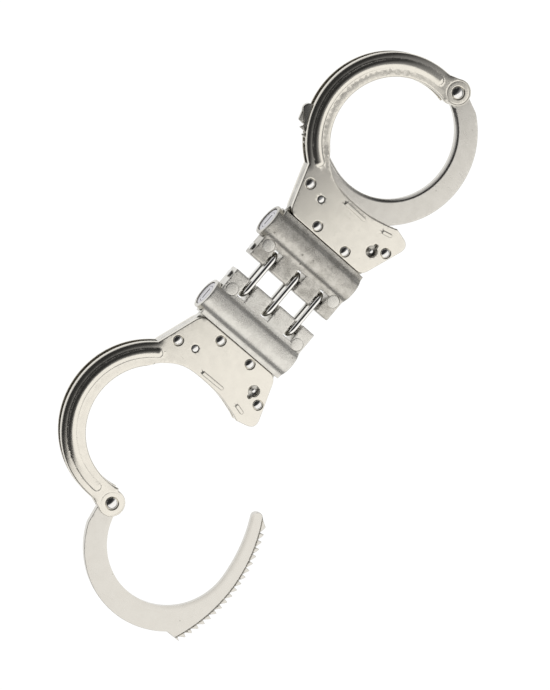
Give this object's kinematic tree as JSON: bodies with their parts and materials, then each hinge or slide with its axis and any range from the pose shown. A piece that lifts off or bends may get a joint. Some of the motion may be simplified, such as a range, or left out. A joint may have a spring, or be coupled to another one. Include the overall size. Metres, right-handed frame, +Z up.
{
  "type": "hinged handcuffs",
  "caption": "Nickel-plated double-lock handcuffs whose two ratchet cuffs are joined by oval wire links across a flat hinge.",
  "frame": {"origin": "middle of the footprint at the height the barrels lie on, both cuffs flat, the first cuff closed and the second open", "axes": "+Y from the open cuff to the closed cuff, +X along the hinge away from the cylinder locks' key faces, +Z up out of the cheek faces"},
  "size_m": [0.1356, 0.3114, 0.0167],
  "materials": {
    "cheek_plate": "nickel plate, satin with soft reflections",
    "jaw_plate": "nickel plate, satin, slightly brighter than the cheeks",
    "casting": "nickel plate over a fine cast grain",
    "rivet": "polished nickel",
    "rod": "polished nickel",
    "wire_link": "bright polished wire",
    "dowel": "ground flush, satin",
    "lock_shell": "turned face, satin",
    "lock_plug": "turned face, satin",
    "mechanism": "hardened steel, bright",
    "spring_steel": "blued spring steel"
  },
  "bodies": {
    "cuff_a": {"a_casting": "casting", "a_cheek_front": "cheek_plate", "a_cheek_rear": "cheek_plate", "a_pivot_rivet": "rivet", "a_lock_rivet_a": "rivet", "a_lock_rivet_b": "rivet", "a_lock_rivet_c": "rivet", "a_lock_rivet_d": "rivet", "a_pawl_pin": "rivet", "a_key_post": "rivet", "a_pawl_spring": "spring_steel", "a_slide_spring": "spring_steel", "a_lock_shell": "lock_shell", "a_link_rod": "rod", "a_dowel_left_front": "dowel", "a_dowel_left_rear": "dowel", "a_dowel_right_front": "dowel", "a_dowel_right_rear": "dowel"},
    "a_jaw": {"a_jaw": "jaw_plate"},
    "a_pawl": {"a_pawl": "mechanism"},
    "a_slide": {"a_double_lock_slide": "mechanism"},
    "a_plug": {"a_lock_plug": "lock_plug", "a_lock_cam": "mechanism"},
    "a_bolt": {"a_rod_bolt": "mechanism"},
    "links": {"link_1": "wire_link", "link_2": "wire_link", "link_3": "wire_link"},
    "cuff_b": {"b_casting": "casting", "b_cheek_front": "cheek_plate", "b_cheek_rear": "cheek_plate", "b_pivot_rivet": "rivet", "b_lock_rivet_a": "rivet", "b_lock_rivet_b": "rivet", "b_lock_rivet_c": "rivet", "b_lock_rivet_d": "rivet", "b_pawl_pin": "rivet", "b_key_post": "rivet", "b_pawl_spring": "spring_steel", "b_slide_spring": "spring_steel", "b_lock_shell": "lock_shell", "b_link_rod": "rod", "b_dowel_left_front": "dowel", "b_dowel_left_rear": "dowel", "b_dowel_right_front": "dowel", "b_dowel_right_rear": "dowel"},
    "b_jaw": {"b_jaw": "jaw_plate"},
    "b_pawl": {"b_pawl": "mechanism"},
    "b_slide": {"b_double_lock_slide": "mechanism"},
    "b_plug": {"b_lock_plug": "lock_plug", "b_lock_cam": "mechanism"},
    "b_bolt": {"b_rod_bolt": "mechanism"}
  },
  "joints": [
    {"name": "a_jaw_swing", "type": "hinge", "parent": "cuff_a", "child": "a_jaw", "pos_m": [-0.01299, 0.14892, 0.00835], "axis": [0, 0, 1], "continuous": true},
    {"name": "a_pawl_pivot", "type": "hinge", "parent": "cuff_a", "child": "a_pawl", "pos_m": [-0.03147, 0.06493, 0.00835], "axis": [0, 0, 1], "range_deg": [-4, 0], "stiffness_Nm_per_rad": 0.02, "springref_deg": 2.86},
    {"name": "a_double_lock", "type": "slide", "parent": "cuff_a", "child": "a_slide", "axis": [1, 0, 0], "range_m": [-0.003, 0]},
    {"name": "a_key_turn", "type": "hinge", "parent": "cuff_a", "child": "a_plug", "pos_m": [-0.03687, 0.04073, 0.00835], "axis": [1, 0, 0], "range_deg": [0, 90]},
    {"name": "a_bolt_slide", "type": "slide", "parent": "cuff_a", "child": "a_bolt", "axis": [0, 1, 0], "range_m": [0, 0.0013]},
    {"name": "hinge_a", "type": "hinge", "parent": "cuff_a", "child": "links", "pos_m": [-0.01687, 0.02583, 0.00835], "axis": [1, 0, 0], "range_deg": [-88, 88]},
    {"name": "hinge_b", "type": "hinge", "parent": "links", "child": "cuff_b", "pos_m": [-0.01687, 0.00863, 0.00835], "axis": [1, 0, 0], "range_deg": [-88, 88]},
    {"name": "b_jaw_swing", "type": "hinge", "parent": "cuff_b", "child": "b_jaw", "pos_m": [-0.01299, -0.11447, 0.00835], "axis": [0, 0, -1], "continuous": true},
    {"name": "b_pawl_pivot", "type": "hinge", "parent": "cuff_b", "child": "b_pawl", "pos_m": [-0.03147, -0.03047, 0.00835], "axis": [0, 0, -1], "range_deg": [-4, 0], "stiffness_Nm_per_rad": 0.02, "springref_deg": 2.86},
    {"name": "b_double_lock", "type": "slide", "parent": "cuff_b", "child": "b_slide", "axis": [1, 0, 0], "range_m": [-0.003, 0]},
    {"name": "b_key_turn", "type": "hinge", "parent": "cuff_b", "child": "b_plug", "pos_m": [-0.03687, -0.00627, 0.00835], "axis": [1, 0, 0], "range_deg": [0, 90]},
    {"name": "b_bolt_slide", "type": "slide", "parent": "cuff_b", "child": "b_bolt", "axis": [0, -1, 0], "range_m": [0, 0.0013]}
  ],
  "couplings": [
    {"joint": "a_key_turn", "follows": "a_bolt_slide", "rad_per_m": 1208},
    {"joint": "b_key_turn", "follows": "b_bolt_slide", "rad_per_m": 1208}
  ]
}
